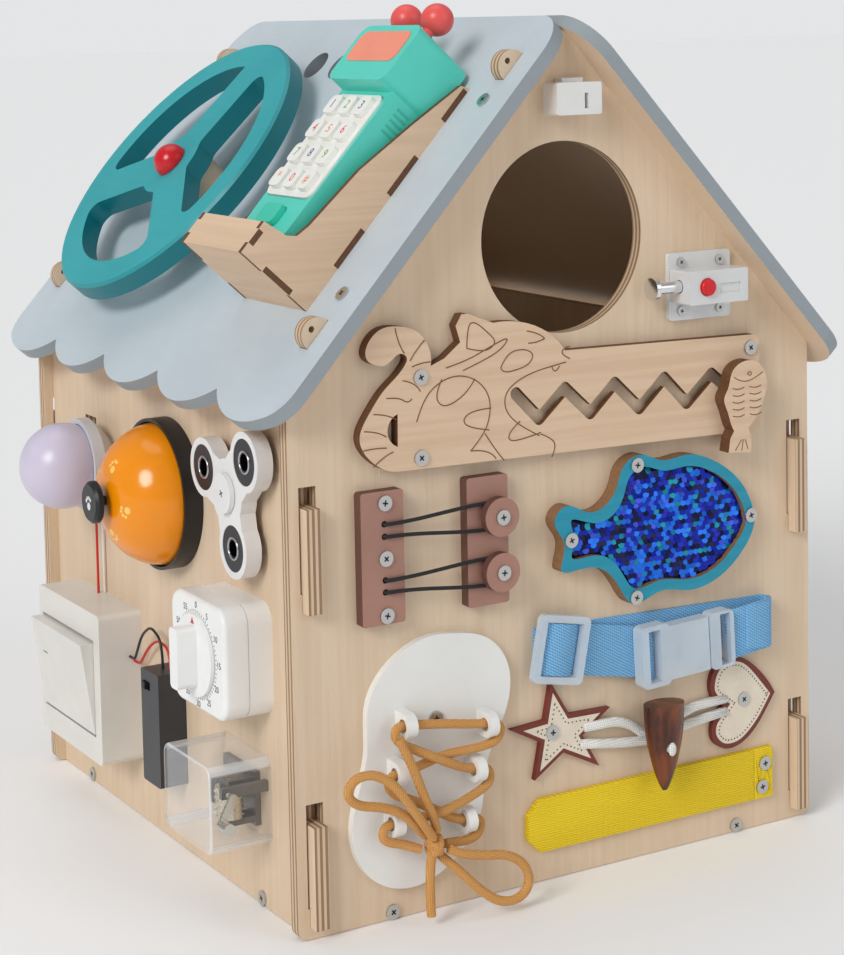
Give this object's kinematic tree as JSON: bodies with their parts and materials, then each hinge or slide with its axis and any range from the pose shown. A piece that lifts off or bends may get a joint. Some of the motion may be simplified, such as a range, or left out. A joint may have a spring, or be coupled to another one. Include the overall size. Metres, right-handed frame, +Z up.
{
  "type": "activity house",
  "caption": "Plywood activity house with a gabled roof, a steering wheel, a toy telephone and small mechanisms on its walls that turn, slide, press and fasten.",
  "frame": {"origin": "centre of the base, on the surface that the house stands on", "axes": "+Z up, -Y out of the front gable, -X out of the toy-covered side wall; the roof ridge runs along Y"},
  "size_m": [0.359, 0.3489, 0.4244],
  "materials": {
    "birch_ply": "sanded birch plywood with pale open edges",
    "roof_paint": "pale blue-grey satin paint on plywood, darker on the edges",
    "cradle_ply": "laser-cut plywood with burnt brown edges",
    "wheel_paint": "teal satin paint, darker on its side",
    "wheel_red": "red gloss",
    "post_wood": "turned pale wood",
    "phone_mint": "mint moulded plastic, low gloss",
    "phone_coral": "coral moulded plastic",
    "phone_key_white": "white soft keys with plain numbers",
    "phone_key_mint": "mint key",
    "latch_grey": "light grey gloss plastic",
    "latch_red": "red gloss button",
    "chromed": "bright plated steel",
    "catch_white": "white plastic",
    "maze_birch": "birch plywood with burnt lines and dark cut edges",
    "bar_mauve": "mauve-brown stained plywood",
    "elastic_black": "black knitted elastic",
    "fish_paint": "teal painted plywood over pale layers",
    "sequin_cloth": "overlapping glossy sequins, blue, violet and green",
    "fish_knob_wood": "pale plywood fish with burnt lines",
    "webbing_blue": "sky-blue twill webbing",
    "buckle_frost": "frosted translucent plastic",
    "leather_cream": "cream leather with stitching near its edge",
    "cord_white": "white cotton cord",
    "horn_amber": "dark amber-brown polished horn-like plastic",
    "strap_yellow": "yellow hook-and-loop tape with a herringbone face",
    "sole_white": "white painted plywood with white eyelets",
    "lace_mustard": "mustard braided lace",
    "globe_white": "lavender-white frosted globe",
    "holder_grey": "light grey lamp holder",
    "wire_coloured": "red, white and black insulated leads",
    "bell_orange": "orange gloss enamel with pale paw prints",
    "bell_black": "black plastic",
    "spinner_white": "white moulded plastic",
    "bearing_steel": "steel ring bearings with dark seals",
    "switch_white": "off-white moulded plastic",
    "battery_dark": "dark grey plastic",
    "timer_white": "white plastic with printed numbers and a red pointer mark",
    "music_clear": "clear acrylic cover",
    "music_metal": "plated music movement",
    "screw_zinc": "zinc cross-recess screws",
    "screen_coral": "bare coral face plate"
  },
  "bodies": {
    "house": {"front_panel": "birch_ply", "back_panel": "birch_ply", "left_wall": "birch_ply", "right_wall": "birch_ply", "floor_panel": "birch_ply", "left_roof": "roof_paint", "right_roof": "roof_paint", "wood_screws": "screw_zinc", "cradle_sides": "cradle_ply", "cradle_box": "cradle_ply", "wheel_cap": "wheel_red", "wheel_post": "post_wood", "latch_housing": "latch_grey", "catch_block": "catch_white", "maze_board": "maze_birch", "elastic_bars": "bar_mauve", "disc_buttons": "bar_mauve", "elastic_loops": "elastic_black", "sequin_frame": "fish_paint", "sequin_panel": "sequin_cloth", "webbing_fixed": "webbing_blue", "buckle_plug": "buckle_frost", "leather_patches": "leather_cream", "toggle_cords": "cord_white", "yellow_strap_base": "strap_yellow", "sole_plate": "sole_white", "shoelace": "lace_mustard", "lamp_holder": "holder_grey", "lamp_globe": "globe_white", "lead_wires": "wire_coloured", "bell_base": "bell_black", "bell_dome": "bell_orange", "spinner_axle": "spinner_white", "switch_box": "switch_white", "battery_box": "battery_dark", "timer_case": "timer_white", "music_cover": "music_clear", "music_frame": "music_metal"},
    "wheel": {"steering_wheel": "wheel_paint"},
    "phone": {"phone_front_shell": "phone_mint", "phone_back_shell": "phone_mint", "phone_screen": "screen_coral", "phone_antennae": "phone_coral"},
    "keypad": {"phone_keypad": "phone_key_white"},
    "music_key": {"phone_music_key": "phone_key_mint"},
    "latch_button": {"latch_button": "latch_red"},
    "latch_plunger": {"latch_plunger": "chromed"},
    "fish": {"fish_knob": "fish_knob_wood"},
    "spinner": {"spinner_body": "spinner_white", "spinner_bearings": "bearing_steel"},
    "bell_knob": {"bell_plunger": "bell_black"},
    "rocker": {"switch_rocker": "switch_white"},
    "battery_slider": {"battery_switch": "battery_dark"},
    "dial": {"timer_dial": "timer_white"},
    "crank": {"music_crank": "music_metal"},
    "drum": {"music_drum": "music_metal"},
    "toggle": {"toggle_horn": "horn_amber"},
    "strap": {"buckle_socket": "buckle_frost", "webbing_front": "webbing_blue"},
    "flap": {"yellow_strap_flap": "strap_yellow"}
  },
  "joints": [
    {"name": "wheel_spin", "type": "hinge", "parent": "house", "child": "wheel", "pos_m": [-0.08776, 0.06, 0.3268], "axis": [-0.7396, 0, 0.673], "continuous": true},
    {"name": "phone_lift", "type": "slide", "parent": "house", "child": "phone", "axis": [-0.7396, 0, 0.673], "range_m": [0, 0.06]},
    {"name": "keypad_press", "type": "slide", "parent": "phone", "child": "keypad", "axis": [0.7396, 0, -0.673], "range_m": [0, 0.001], "stiffness_N_per_m": 2000},
    {"name": "music_key_press", "type": "slide", "parent": "phone", "child": "music_key", "axis": [0.7396, 0, -0.673], "range_m": [0, 0.001], "stiffness_N_per_m": 1000},
    {"name": "latch_button_press", "type": "slide", "parent": "house", "child": "latch_button", "axis": [0, 1, 0], "range_m": [0, 0.0022], "stiffness_N_per_m": 500},
    {"name": "latch_slide", "type": "slide", "parent": "house", "child": "latch_plunger", "axis": [1, 0, 0], "range_m": [0, 0.009]},
    {"name": "fish_slide", "type": "slide", "parent": "house", "child": "fish", "axis": [-0.7785, 0, 0.6276], "range_m": [0, 0.0209]},
    {"name": "spinner_spin", "type": "hinge", "parent": "house", "child": "spinner", "pos_m": [-0.144, -0.1015, 0.199], "axis": [1, 0, 0], "continuous": true},
    {"name": "bell_press", "type": "slide", "parent": "house", "child": "bell_knob", "axis": [1, 0, 0], "range_m": [0, 0.003], "stiffness_N_per_m": 600},
    {"name": "rocker_tilt", "type": "hinge", "parent": "house", "child": "rocker", "pos_m": [-0.165, 0.0755, 0.07175], "axis": [0, 1, 0], "range_deg": [0, 12]},
    {"name": "battery_slide", "type": "slide", "parent": "house", "child": "battery_slider", "axis": [0, -1, 0], "range_m": [0, 0.0036]},
    {"name": "dial_turn", "type": "hinge", "parent": "house", "child": "dial", "pos_m": [-0.169, -0.0925, 0.12225], "axis": [1, 0, 0], "range_deg": [0, 330]},
    {"name": "crank_turn", "type": "hinge", "parent": "house", "child": "crank", "pos_m": [-0.1655, -0.109, 0.0605], "axis": [0, 1, 0], "continuous": true},
    {"name": "drum_turn", "type": "hinge", "parent": "house", "child": "drum", "pos_m": [-0.158, -0.1, 0.052], "axis": [0, 0, 1], "continuous": true},
    {"name": "toggle_turn", "type": "hinge", "parent": "house", "child": "toggle", "pos_m": [0.047, -0.166, 0.0587], "axis": [0, 1, 0], "range_deg": [-30, 30]},
    {"name": "strap_unbuckle", "type": "slide", "parent": "house", "child": "strap", "axis": [-0.9989, 0, -0.0475], "range_m": [0, 0.014]},
    {"name": "flap_peel", "type": "hinge", "parent": "house", "child": "flap", "pos_m": [0.1113, -0.1562, 0.0285], "axis": [0, 0, 1], "range_deg": [0, 90]}
  ],
  "couplings": [
    {"joint": "drum_turn", "follows": "crank_turn", "ratio": 0.066667}
  ]
}
